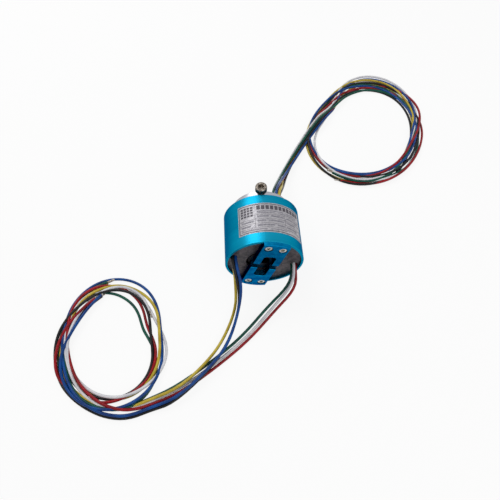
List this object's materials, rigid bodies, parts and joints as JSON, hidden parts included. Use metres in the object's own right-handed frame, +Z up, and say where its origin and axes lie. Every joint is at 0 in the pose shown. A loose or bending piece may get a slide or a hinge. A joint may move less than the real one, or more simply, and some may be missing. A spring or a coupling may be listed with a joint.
{
  "type": "slip ring",
  "caption": "Through-bore slip ring with a turned housing, a forked end bar, a clamped rotor flange and two looms of flying leads",
  "frame": {"origin": "on the rotation axis, halfway along the housing", "axes": "+Y along the rotation axis from the stator end to the rotor flange, +Z up from the table it lies on"},
  "size_m": [0.3174, 0.3383, 0.0593],
  "materials": {
    "bearing_steel": "ground and polished",
    "block_plastic": "moulded",
    "blue_anodised": "satin anodised, turned",
    "blue_anodised_fork": "satin anodised, milled",
    "brush_metal": "pressed, dark",
    "cage_brass": "machined",
    "dark_anodised": "matt dark anodised",
    "insulator_plastic": "moulded",
    "lead_black": "insulation",
    "lead_blue": "insulation",
    "lead_bundle": "insulated wires",
    "lead_green": "insulation",
    "lead_red": "insulation",
    "lead_white": "insulation",
    "lead_yellow": "insulation",
    "natural_aluminium": "turned, natural",
    "ring_metal": "plated, polished",
    "screw_steel": "stainless, knurled heads",
    "spring_steel": "drawn"
  },
  "bodies": {
    "stator": {"brush_1": "brush_metal", "brush_2": "brush_metal", "brush_3": "brush_metal", "brush_4": "brush_metal", "brush_5": "brush_metal", "brush_6": "brush_metal", "end_plate": "dark_anodised", "front_outer_race": "bearing_steel", "housing": "blue_anodised", "left_block_screws": "screw_steel", "left_brush_block": "block_plastic", "left_brush_springs": "spring_steel", "lower_fork": "blue_anodised_fork", "lower_fork_screw_left": "screw_steel", "lower_fork_screw_right": "screw_steel", "rear_outer_race": "bearing_steel", "right_block_screws": "screw_steel", "right_brush_block": "block_plastic", "right_brush_springs": "spring_steel", "stator_lead_black": "lead_black", "stator_lead_blue": "lead_blue", "stator_lead_coil": "lead_bundle", "stator_lead_green": "lead_green", "stator_lead_red": "lead_red", "stator_lead_white": "lead_white", "stator_lead_yellow": "lead_yellow", "upper_fork": "blue_anodised_fork", "upper_fork_screw_left": "screw_steel", "upper_fork_screw_right": "screw_steel"},
    "rotor": {"clamp_screw": "screw_steel", "contact_ring_1": "ring_metal", "contact_ring_2": "ring_metal", "contact_ring_3": "ring_metal", "contact_ring_4": "ring_metal", "contact_ring_5": "ring_metal", "contact_ring_6": "ring_metal", "front_inner_race": "bearing_steel", "insulator_1": "insulator_plastic", "insulator_2": "insulator_plastic", "insulator_3": "insulator_plastic", "insulator_4": "insulator_plastic", "insulator_5": "insulator_plastic", "insulator_6": "insulator_plastic", "insulator_7": "insulator_plastic", "rear_inner_race": "bearing_steel", "retaining_ring": "spring_steel", "rotor_lead_black": "lead_black", "rotor_lead_blue": "lead_blue", "rotor_lead_coil": "lead_bundle", "rotor_lead_green": "lead_green", "rotor_lead_red": "lead_red", "rotor_lead_white": "lead_white", "rotor_lead_yellow": "lead_yellow", "rotor_sleeve": "natural_aluminium"},
    "front_ball_set": {"front_balls": "bearing_steel", "front_cage": "cage_brass"},
    "rear_ball_set": {"rear_balls": "bearing_steel", "rear_cage": "cage_brass"}
  },
  "joints": [
    {"name": "rotor_spin", "type": "hinge", "parent": "stator", "child": "rotor", "pos_m": [0, 0, 0], "axis": [0, 1, 0], "continuous": true},
    {"name": "front_ball_spin", "type": "hinge", "parent": "stator", "child": "front_ball_set", "pos_m": [0, -0.0125, 0], "axis": [0, 1, 0], "continuous": true},
    {"name": "rear_ball_spin", "type": "hinge", "parent": "stator", "child": "rear_ball_set", "pos_m": [0, 0.015, 0], "axis": [0, 1, 0], "continuous": true}
  ],
  "couplings": [
    {"joint": "front_ball_spin", "follows": "rotor_spin", "ratio": 0.4327},
    {"joint": "rear_ball_spin", "follows": "rotor_spin", "ratio": 0.4327}
  ]
}
